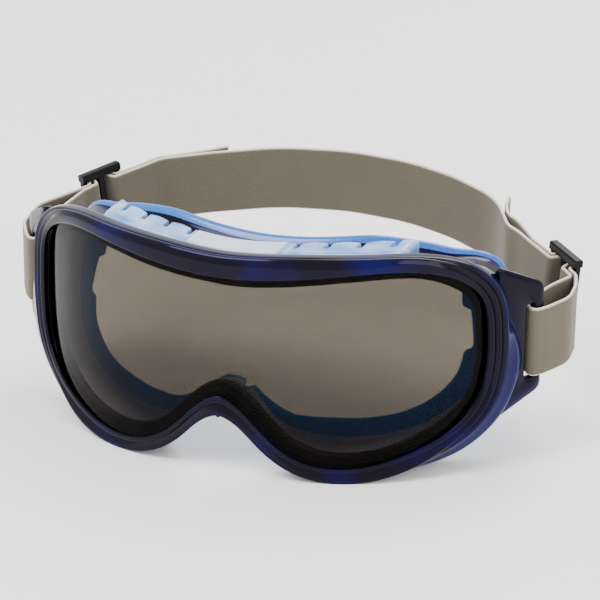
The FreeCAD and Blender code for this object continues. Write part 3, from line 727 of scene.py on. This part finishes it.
def frame_shell():
    """One closed surface: the section carried round the lens edge.  The cheeks flare out
    behind the rim, and two slits run forward from the rear edge over the nose."""
    across, up = EDGE[0], EDGE[1]
    weights = section_weights()
    cheek = smooth_step(np.abs(across), 40 * MM, 66 * MM) * smooth_step(-up, -16 * MM, 4 * MM)
    flare = (cheek * CHEEK_FLARE)[:, None]
    corners = [front_corners(weights, flare), rear_corners(weights, flare), inner_corners()]
    columns = smooth_columns(np.concatenate(corners, axis=1), 2)
    outward, depth, share, groove_shade, zone = np.moveaxis(columns, 2, 0)
    slit = np.exp(-((np.abs(across) - SLIT_ACROSS) / SLIT_HALF) ** 4) * (up < 0)
    depth = depth - (slit * SLIT_DEPTH)[:, None] * share
    points = ring_point(outward, np.where(share < 0.01, depth, REAR_START), depth, share)
    return points, outward, share, groove_shade, zone


class GOGGLES_OT_frame(bpy.types.Operator):
    """Soft frame in one surface, from the lens lip to the face flange"""
    bl_idname = "goggles.frame"
    bl_label = "Soft frame"

    def execute(self, context):
        settings = context.scene.goggles.frame
        points, outward, share, groove_shade, zone = frame_shell()
        rows, columns = points.shape[:2]
        faces = grid_faces(rows, columns, close_rows=True, close_columns=True)
        piece = add_object("frame_shell", points.reshape(-1, 3), faces, frame_vinyl(settings))
        piece.data.materials.append(clear_vinyl(settings))
        piece.data.materials.append(wall_vinyl(settings))
        kinds = np.rint(zone[0]).astype(np.int32)[faces[:, 0] % columns]
        piece.data.polygons.foreach_set("material_index", kinds)
        add_values(piece, "groove_shade", groove_shade)
        add_values(piece, "thin", smooth_step(outward, 5.5 * MM, 8.5 * MM) * (share < 0.5))
        place(piece, "goggles", "frame_vinyl", "frame_rim", "frame_wall", "face_flange")
        return {"FINISHED"}


# ------------------------------------------------------------------ lenses
class GOGGLES_OT_lenses(bpy.types.Operator):
    """Tinted outer lens, clear inner lens and the spacer between them"""
    bl_idname = "goggles.lenses"
    bl_label = "Lenses"

    def execute(self, context):
        tint = context.scene.goggles.lens.tint
        smoke = lens_glass("smoke_lens", 55.0, 4.0, opaque(tint),
                           opaque(share * 1.05 for share in tint), 1.12)
        clear = lens_glass("clear_lens", 40.0, 3.0, (0.96, 0.97, 0.97, 1.0),
                           (0.98, 0.99, 0.99, 1.0), 1.04)
        piece = lens_piece("smoke_lens", 0.0, LENS_THICK, smoke)
        place(piece, "goggles", "smoke_lens", "outer_lens")
        piece = lens_piece("clear_lens", INNER_BACK, INNER_THICK, clear)
        place(piece, "goggles", "clear_lens", "inner_lens")
        repaint("lens_gasket", gasket_foam())
        return {"FINISHED"}


def lens_piece(name, back, thick, material):
    """Curved plate: the outline shrinks in rings to a pole over the nose; the front and rear
    faces lie on two drums and meet at the outline."""
    across, up, normal_across, normal_up = (part[:, None] for part in EDGE[:4])
    bite = LENS_BITE * 0.55
    shares = np.concatenate([[1.0, 0.995], np.linspace(0.97, 0.02, 40)])
    layers = []
    for depth, order in ((back, shares[::-1]), (back + thick, shares)):
        x = (across + normal_across * bite) * order
        z = LENS_POLE + (up + normal_up * bite - LENS_POLE) * order
        layers.append(np.stack([x, front_depth(x, depth), z], axis=-1))
    points = np.concatenate(layers, axis=1)
    rows, columns = points.shape[:2]
    poles = np.array([[0, back, LENS_POLE], [0, back + thick, LENS_POLE]])
    vertices = np.vstack([points.reshape(-1, 3), poles])
    row = np.arange(rows)
    after = (row + 1) % rows
    fans = np.vstack([
        np.stack([row * columns, after * columns, np.full(rows, rows * columns)], axis=1),
        np.stack([after * columns + columns - 1, row * columns + columns - 1,
                  np.full(rows, rows * columns + 1)], axis=1)])
    quads = grid_faces(rows, columns, close_rows=True)
    return add_object(name, vertices, [quads, fans[:, ::-1]], material)


# ------------------------------------------------------------------ strap lugs
LUG_ROOT = np.array([79.0, 41.5]) * MM
LUG_ANGLE = math.radians(46.0)
LUG_ALONG = np.array([math.cos(LUG_ANGLE), math.sin(LUG_ANGLE)])
LUG_AWAY = np.array([math.sin(LUG_ANGLE), -math.cos(LUG_ANGLE)])
STRAP_RISE = math.tan(math.radians(10.1))
STRAP_LEVEL = 3.4 * MM
SLOT_REACH = 50.0 * MM
SLOT_ALONG = 9.5 * MM
LUG_STEPS = 96
LUG_HALF_THICK = 1.5


def strap_height(depth):
    """Height of the strap's middle at a place along the depth."""
    return STRAP_LEVEL + STRAP_RISE * (depth - SLOT_REACH)


def rounded_outline(corners, radius):
    """Closed outline sampled evenly, each corner a quadratic curve between two points one
    radius from it."""
    corners = np.array(corners)
    path = []
    for index, corner in enumerate(corners):
        before = corners[index - 1] - corner
        after = corners[(index + 1) % len(corners)] - corner
        before /= np.linalg.norm(before)
        after /= np.linalg.norm(after)
        share = np.linspace(0, 1, 12)[:, None]
        start, end = corner + before * radius, corner + after * radius
        path.append((1 - share) ** 2 * start + 2 * share * (1 - share) * corner + share**2 * end)
    closed = np.vstack(path + [path[0][:1]])
    lengths = lengths_along(closed)
    return sampled(closed, lengths, np.linspace(0, lengths[-1], LUG_STEPS, endpoint=False))


def lug_mesh(side):
    """Wing with a slot: its outer and slot outlines have the same number of points, and
    rings at shares of the way between them lie at heights that round both edges off."""
    slot_level = float(strap_height(LUG_ROOT[1] + LUG_ALONG[1] * SLOT_ALONG)) / MM
    top, bottom = slot_level + 19.3, slot_level - 16.1
    outside = rounded_outline([(13.5, bottom), (13.5, top), (-3.0, top + 7.0), (-3.0, bottom - 9.0)], 2.2)
    inside = rounded_outline([(11.1, slot_level - 12.3), (11.1, slot_level + 12.3),
                              (7.9, slot_level + 12.3), (7.9, slot_level - 12.3)], 0.9)
    start = np.argmin(np.linalg.norm(inside - inside.mean(axis=0)
                                     - np.array([1.0, -10.0]), axis=1))
    inside = np.roll(inside, -start, axis=0)
    rings = []
    for share, height in ((0, -0.6), (0.012, -0.9), (0.04, -1), (0.5, -1), (0.93, -1), (0.97, -0.85),
                          (0.97, 0.85), (0.93, 1), (0.5, 1), (0.04, 1), (0.012, 0.9), (0, 0.6)):
        flat = outside * (1 - share) + inside * share
        rings.append(np.column_stack([flat, np.full(LUG_STEPS, height * LUG_HALF_THICK)]))
    rings = np.stack(rings, axis=1) * MM
    along, height, away = rings[:, :, 0], rings[:, :, 1], rings[:, :, 2]
    x = side * (LUG_ROOT[0] + LUG_ALONG[0] * along + LUG_AWAY[0] * away)
    y = LUG_ROOT[1] + LUG_ALONG[1] * along + LUG_AWAY[1] * away
    points = np.stack([x, y, height], axis=-1)
    rows, columns = points.shape[:2]
    faces = grid_faces(rows, columns, close_rows=True, close_columns=True)
    return points.reshape(-1, 3), faces


class GOGGLES_OT_lugs(bpy.types.Operator):
    """Slotted wing on each side that the headband loops through"""
    bl_idname = "goggles.lugs"
    bl_label = "Strap lugs"

    def execute(self, context):
        settings = context.scene.goggles.frame
        for side, name in ((1, "right_lug"), (-1, "left_lug")):
            points, faces = lug_mesh(side)
            piece = add_object(name + "_wing", points, faces, frame_vinyl(settings))
            place(piece, "goggles", "frame_vinyl", name)
        return {"FINISHED"}


# ------------------------------------------------------------------ vents and plate
def roof_point(across, lift, behind):
    """Places on the roof: over the lens edge by lift, this far behind the lens front."""
    order = np.argsort(EDGE[0][EDGE[3] > 0.3])
    brow = [part[EDGE[3] > 0.3][order] for part in EDGE[:4]]
    edge_up = np.interp(across, brow[0], brow[1])
    lean = np.interp(across, brow[0], brow[2])
    x = across + lean * lift
    z = edge_up + lift
    return np.stack([x, front_depth(x, behind), z], axis=-1)


COVER_HALF = 51.0 * MM
LOUVRE_PITCH = 9.2 * MM


def cover_surface():
    """Roof cover on a grid of (across, behind).  Its front is a plain strip; behind it the
    louvres alternate with gaps along the length, each louvre a dome that ends higher at the
    rear; every edge drops in a quarter ellipse.  Underneath, a skirt along the rear and the
    ends reaches down into the roof."""
    across = np.linspace(-COVER_HALF, COVER_HALF, 553)
    share = np.linspace(0, 1, 49)
    across, share = np.meshgrid(across, share, indexing="ij")
    phase = np.mod(across / LOUVRE_PITCH + 0.5, 1)
    gap = np.exp(-((phase - 0.5) / 0.085) ** 6)
    behind = (6.2 + 14.8 * share) * MM
    end = np.clip((COVER_HALF - np.abs(across)) / (2.5 * MM), 0, 1)
    rounded = quarter_round(end) * quarter_round(np.minimum(share, 1 - share) / 0.06)
    # The slot drops the gaps between the louvres, and the same mask is returned to place painted shade in
    # them.
    slot = smooth_step(share, 0.62, 0.7) * gap * np.clip(end * 3, 0, 1)
    step = smooth_step(share, 0.3, 0.36)
    dome = 0.5 * np.cos(phase * 2 * math.pi) * smooth_step(share, 0.4, 0.7)
    sink = 2.4 * smooth_step(np.abs(across), 0.35 * COVER_HALF, COVER_HALF)
    height = (3.4 + 1.6 * rounded + 0.5 * step + 0.4 * dome - 2.6 * slot - sink) * MM
    top = roof_point(across, height, behind)
    temple = smooth_step(np.abs(across), 30 * MM, 62 * MM)
    roof = roof_point(across, (-3.6 - 3.0 * temple) * MM, behind)
    skirt = np.maximum(smooth_step(share, 0.9, 0.96),
                       smooth_step(np.abs(across), COVER_HALF - 1.6 * MM, COVER_HALF - 0.8 * MM))
    skirt = (skirt * smooth_step(share, 0.08, 0.2))[:, :, None]
    lower = (top - np.array([0, 0, 1.0 * MM])) * (1 - skirt) + roof * skirt
    return top, lower, slot


def slab_mesh(top, lower):
    """Closed slab between an upper and a lower surface on the same grid: both grids joined
    round their rims."""
    rows, columns = top.shape[:2]
    ring = np.concatenate([top, lower[:, ::-1]], axis=1)
    return ring.reshape(-1, 3), tube_faces(rows, 2 * columns)


class GOGGLES_OT_vents(bpy.types.Operator):
    """Louvred roof cover, floor vents and the blank plate"""
    bl_idname = "goggles.vents"
    bl_label = "Vents and plate"

    def execute(self, context):
        settings = context.scene.goggles.vents
        material = vent_plastic(settings)
        top, lower, louvre_gap_shade = cover_surface()
        points, faces = slab_mesh(top, lower)
        piece = add_object("roof_vent_cover", points, faces, material)
        add_values(piece, "louvre_gap_shade", np.concatenate([louvre_gap_shade, louvre_gap_shade[:, ::-1]], axis=1))
        place(piece, "goggles", "vent_plastic", "top_vent_cover")
        for name in ("right_floor_vent", "left_floor_vent"):
            repaint(name, material)
        points, faces = plate_mesh()
        piece = add_object("blank_plate", points, faces, plate_plastic())
        place(piece, "goggles", "plate_plastic", "label_plate")
        return {"FINISHED"}


def plate_mesh():
    """Thin curved plate with a raised border: the height is a plateau with a smooth edge
    and a shallow recess inside."""
    half = 15.5 * MM
    across, share = np.meshgrid(np.linspace(-half, half, 121), np.linspace(0, 1, 41), indexing="ij")
    behind = (8.0 + 10.5 * share) * MM
    rim = np.minimum((half - np.abs(across)) / MM, np.minimum(share, 1 - share) * 10.5)
    lift = (5.9 + 0.75 * quarter_round(rim / 0.5) - 0.22 * smooth_step(rim, 0.9, 1.3)) * MM
    top = roof_point(across, lift, behind)
    lower = roof_point(across, np.full_like(lift, 5.2 * MM), behind)
    return slab_mesh(top, lower)


# ------------------------------------------------------------------ headband
SLIDES = {
    "right": (1, np.array([87.3, 80.8]) * MM, math.radians(-43.8)),
    "left": (-1, np.array([-82.5, 94.8]) * MM, math.radians(-120.0)),
}
LAYER_PITCH = 1.65 * MM
NEAR_LAYER = 1.8 * MM
FAR_LAYER = NEAR_LAYER + LAYER_PITCH
WEAVE_REAR = -16.5 * MM
WEAVE_FRONT = 8.5 * MM
BLEND_REACH = 8.0 * MM
WINDOW_HALF = 6.2 * MM
RIBBON_STEP = 0.5 * MM
ARC_POINTS = 10
SPREAD_COUNT = 37
REAR_ROUTE = [(-68.5, 112.4), (-52.0, 121.5), (-30.0, 131.5), (-5.0, 134.8), (18.0, 132.3),
              (36.0, 125.8), (54.5, 114.8), (63.8, 97.5), (68.3, 94.4)]
TAIL_ROUTE = {"right": [(71.2, 94.9), (66.2, 101.2), (61.5, 105.2), (59.4, 110.0), (58.4, 117.0)],
              "left": [(-69.9, 113.2), (-56.0, 121.7), (-48.8, 127.4)]}
LOOP_INNER = {"right": [(88.3, 63.5), (84.9, 55.5)], "left": [(-87.2, 70.0), (-84.9, 56.5)]}
LOOP_OUTER = {"right": [(95.9, 57.5), (95.7, 65.5)], "left": [(-95.3, 57.5), (-95.85, 70.0)]}


def in_metres(route):
    """Places in plan from a route in millimetres."""
    return [np.array(spot) * MM for spot in route]


def slide_forward(side_name):
    """Direction in plan of the strap through a slide."""
    heading = SLIDES[side_name][2]
    return np.array([math.cos(heading), math.sin(heading)])


def beside_slide(side_name, along, outward):
    """Place in plan, measured along the strap and outwards from a slide's middle."""
    side, middle, _ = SLIDES[side_name]
    forward = slide_forward(side_name)
    away = np.array([-forward[1], forward[0]]) * side
    return middle + forward * along + away * outward


def beside_lug(side, along, outward):
    """Place in plan beside a lug, measured along its wing and outwards from it."""
    spot = LUG_ROOT + LUG_ALONG * along + LUG_AWAY * outward
    return np.array([side * spot[0], spot[1]])


def ribbon(settings, points, largest, cut_ends, lean):
    """Strap on a route in plan: a rounded slab section carried along the route.  Across the
    strap, from w = -1 to 1, its thickness is scaled by the root of 0.1 + 0.9 (1 - |w|^60).
    With a lean, the section tips from square to upright towards the far end."""
    path, along = even_path(rounded_path(points, largest), RIBBON_STEP)
    tangent = np.gradient(path, axis=0)
    tangent /= np.linalg.norm(tangent, axis=1)[:, None]
    normal = np.stack([-tangent[:, 1], tangent[:, 0]], axis=1)
    spread = np.linspace(-1, 1, SPREAD_COUNT)
    section_w = np.concatenate([spread, spread[::-1]])
    section_t = np.repeat([1.0, -1.0], SPREAD_COUNT) * np.sqrt(
        np.clip(1 - np.abs(section_w) ** 60, 0, 1) * 0.9 + 0.1)
    half_w, half_t = settings.width / 2, settings.thickness / 2
    plan = path[:, None, :] + normal[:, None, :] * (section_t * half_t)[None, :, None]
    slant = math.sqrt(1 + STRAP_RISE**2)
    height = strap_height(plan[:, :, 1]) + section_w * half_w * slant
    if lean:
        origin, forward, start, end = lean
        reach = (path - origin) @ forward
        share = smooth_step(np.abs(reach), end, start) * forward[1] * STRAP_RISE
        plan = plan - forward * (share[:, None] * section_w * half_w)[:, :, None]
    body = np.concatenate([plan, height[:, :, None]], axis=2)
    rows, columns = body.shape[:2]
    faces = tube_faces(rows, columns)
    uv = np.stack([np.broadcast_to(along[:, None], height.shape),
                   np.broadcast_to(section_w * half_w, height.shape)], axis=-1)
    edge = np.clip((np.abs(section_w) - 0.975) / 0.02, 0, 1)[None, :] * np.ones((rows, 1))
    for flag, near in zip(cut_ends, (along, along[-1] - along)):
        if flag:
            edge = np.maximum(edge, np.clip(1 - near[:, None] / (0.5 * MM), 0, 1))
    return body.reshape(-1, 3), faces, uv.reshape(-1, 2), edge.reshape(-1)


def strap_object(name, settings, material, points, largest, cut_ends=(False, False), lean=None):
    """Ribbon with the values that its material reads: length and width in a UV map, and
    where its edges are."""
    vertices, faces, uv, edge = ribbon(settings, points, largest, cut_ends, lean)
    piece = add_object(name, vertices, faces, material)
    mesh = piece.data
    corners = np.zeros(len(mesh.loops), np.int32)
    mesh.loops.foreach_get("vertex_index", corners)
    layer = mesh.uv_layers.new(name="strap")
    layer.data.foreach_set("uv", uv[corners].reshape(-1).astype(np.float32))
    add_values(piece, "edge", edge)
    mesh.set_sharp_from_angle(angle=math.radians(50))
    return piece


def strap_middle(plan):
    """Point of the model at a place in plan, at the height of the strap's middle."""
    return np.array([plan[0], plan[1], strap_height(plan[1])]) + LENS_MIDDLE


def weave_stations(side_name, outer):
    """Stations of one strap layer through its slide, in two halves that meet over the bar."""
    shift = LAYER_PITCH if outer else 0.0
    inside = -NEAR_LAYER if outer else -FAR_LAYER
    outside = FAR_LAYER if outer else NEAR_LAYER
    middle = 2.0 * MM + shift
    climb = 1.8 * MM
    rear = [(WEAVE_REAR, inside), (-middle - climb, inside), (-middle, outside), (0, outside)]
    front = [(0, outside), (middle, outside), (middle + climb, inside), (WEAVE_FRONT, inside)]
    return ([beside_slide(side_name, *spot) for spot in rear],
            [beside_slide(side_name, *spot) for spot in front])


class GOGGLES_OT_headband(bpy.types.Operator):
    """Elastic headband: band round the head, loops, tails and the parts woven in the slides"""
    bl_idname = "goggles.headband"
    bl_label = "Headband"

    def execute(self, context):
        settings = context.scene.goggles.strap
        cloth = strap_webbing(settings)
        ends = {name: beside_slide(name, WEAVE_REAR, -FAR_LAYER) for name in SLIDES}
        route = [ends["left"], *in_metres(REAR_ROUTE), ends["right"]]
        piece = strap_object("band_round_head", settings, cloth, route, 60 * MM)
        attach(piece, "headband")
        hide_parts("rear_band")
        for name, (side, _, _) in SLIDES.items():
            self.build_side(settings, cloth, name, side)
        return {"FINISHED"}

    def build_side(self, settings, cloth, name, side):
        """Tail, loop and woven pieces of one side."""
        tail = [beside_slide(name, WEAVE_REAR, -NEAR_LAYER), *in_metres(TAIL_ROUTE[name])]
        piece = strap_object(name + "_tail_end", settings, cloth, tail, 60 * MM, (False, True))
        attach(piece, "headband")
        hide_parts(name + "_tail")
        lead = WEAVE_FRONT + 2.5 * MM
        apart = 2.5 * MM
        loop = [beside_slide(name, WEAVE_FRONT, -FAR_LAYER), beside_slide(name, lead, -FAR_LAYER),
                *in_metres(LOOP_INNER[name]),
                beside_lug(side, SLOT_ALONG, -apart), beside_lug(side, SLOT_ALONG, apart),
                beside_lug(side, 14.5 * MM, apart),
                *in_metres(LOOP_OUTER[name]),
                beside_slide(name, lead, -NEAR_LAYER), beside_slide(name, WEAVE_FRONT, -NEAR_LAYER)]
        piece = strap_object(name + "_loop_band", settings, cloth, loop, 9 * MM)
        strap_middle(beside_lug(side, 11 * MM, 0))
        strap_middle(beside_slide(name, lead, 0))
        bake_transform(piece)
        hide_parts(name + "_loop")
        for outer in (False, True):
            layer = "outer" if outer else "inner"
            halves = weave_stations(name, outer)
            for half, stations, far in zip(("rear", "front"), halves, (WEAVE_REAR, WEAVE_FRONT)):
                lean = (SLIDES[name][1], slide_forward(name), WINDOW_HALF, abs(far))
                piece = strap_object(f"{name}_{layer}_weave_{half}", settings, cloth, stations,
                                     1 * MM, lean=lean)
                near = math.copysign(BLEND_REACH, far)
                strap_middle(beside_slide(name, far, 0))
                strap_middle(beside_slide(name, near, 0))
                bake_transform(piece)
                if half == "rear":
                    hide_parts(f"{name}_{layer}_weave")


# ------------------------------------------------------------------ slides
class GOGGLES_OT_slides(bpy.types.Operator):
    """Satin black finish of the two three-bar slides"""
    bl_idname = "goggles.slides"
    bl_label = "Slides"

    def execute(self, context):
        material = slide_plastic()
        for name in ("right_slide", "left_slide"):
            repaint(name, material)
        return {"FINISHED"}


# ------------------------------------------------------------------ stage
WORLD_STRENGTH = 1.5
FLOOR_HALF = 6.0
SENSOR_WIDTH = 36.0
NEAR_CLIP = 0.01
# Soft round lights: name, place from the model's own origin, width and power in watts.
LIGHTS = [
    ("key_light", (-0.5, -0.75, 1.1), 0.7, 18.0),
    ("fill_light", (0.95, -0.5, 0.6), 0.6, 5.0),
    ("rear_light", (0.1, 0.9, 1.0), 0.9, 12.0),
]


class GOGGLES_OT_stage(bpy.types.Operator):
    """Pale floor, soft lights and the camera"""
    bl_idname = "goggles.stage"
    bl_label = "Stage"

    def execute(self, context):
        settings = context.scene.goggles.stage
        scene = context.scene
        world = bpy.data.worlds.new("soft_room")
        world.use_nodes = True
        background = world.node_tree.nodes["Background"]
        background.inputs["Color"].default_value = (1.0, 1.0, 1.0, 1.0)
        background.inputs["Strength"].default_value = WORLD_STRENGTH
        scene.world = world
        corners = np.array([(-1, -1), (1, -1), (1, 1), (-1, 1)]) * FLOOR_HALF
        points = np.column_stack([corners, np.zeros(4)]) - LENS_MIDDLE
        floor = add_object("floor", points, np.array([[0, 1, 2, 3]]), floor_paint(), False)
        target = LENS_MIDDLE + np.array(settings.aim)
        for name, place_at, wide, power in LIGHTS:
            lamp = bpy.data.lights.new(name, "AREA")
            lamp.shape = "DISK"
            lamp.size = wide
            lamp.energy = power
            piece = bpy.data.objects.new(name, lamp)
            scene.collection.objects.link(piece)
            spot = Vector(place_at)
            piece.location = spot
            piece.rotation_euler = (Vector(target) - spot).to_track_quat("-Z", "Y").to_euler()
        lens = bpy.data.cameras.new("camera")
        lens.lens = settings.focal_length
        lens.sensor_width = SENSOR_WIDTH
        lens.clip_start = NEAR_CLIP
        camera = bpy.data.objects.new("camera", lens)
        scene.collection.objects.link(camera)
        a, e, r = settings.azimuth, settings.elevation, settings.roll
        back = Vector((math.sin(a) * math.cos(e), -math.cos(a) * math.cos(e), math.sin(e)))
        right = Vector((math.cos(a), math.sin(a), 0))
        up = back.cross(right)
        right, up = (right * math.cos(r) + up * math.sin(r), up * math.cos(r) - right * math.sin(r))
        eye = Vector(target) + back * settings.away
        camera.matrix_world = Matrix(((right.x, up.x, back.x, eye.x), (right.y, up.y, back.y, eye.y),
                                      (right.z, up.z, back.z, eye.z), (0, 0, 0, 1)))
        scene.camera = camera
        return {"FINISHED"}


class GOGGLES_PT_panel(bpy.types.Panel):
    """Sizes and colours with a button for each group"""
    bl_idname = "GOGGLES_PT_panel"
    bl_label = "Safety goggles"
    bl_space_type = "VIEW_3D"
    bl_region_type = "UI"
    bl_category = "Goggles"

    def draw(self, context):
        settings = context.scene.goggles
        for operator, group in PANEL_ROWS:
            box = self.layout.box()
            if group:
                for key in getattr(settings, group).bl_rna.properties.keys():
                    if key not in {"rna_type", "name"}:
                        box.prop(getattr(settings, group), key)
            box.operator(operator.bl_idname)


PANEL_ROWS = [(GOGGLES_OT_frame, "frame"), (GOGGLES_OT_lugs, None), (GOGGLES_OT_lenses, "lens"),
              (GOGGLES_OT_vents, "vents"), (GOGGLES_OT_headband, "strap"),
              (GOGGLES_OT_slides, None), (GOGGLES_OT_stage, "stage")]
CLASSES = [FrameSettings, LensSettings, VentSettings, StrapSettings, StageSettings,
           GogglesSettings, GOGGLES_OT_frame, GOGGLES_OT_lugs, GOGGLES_OT_lenses,
           GOGGLES_OT_vents, GOGGLES_OT_headband, GOGGLES_OT_slides, GOGGLES_OT_stage,
           GOGGLES_PT_panel]


def register():
    for item in CLASSES:
        bpy.utils.register_class(item)
    bpy.types.Scene.goggles = bpy.props.PointerProperty(type=GogglesSettings)


def unregister():
    del bpy.types.Scene.goggles
    for item in reversed(CLASSES):
        bpy.utils.unregister_class(item)


def main():
    register()
    bpy.ops.goggles.frame()
    bpy.ops.goggles.lugs()
    bpy.ops.goggles.lenses()
    bpy.ops.goggles.vents()
    bpy.ops.goggles.headband()
    bpy.ops.goggles.slides()
    bpy.ops.goggles.stage()


if __name__ == "__main__":
    main()
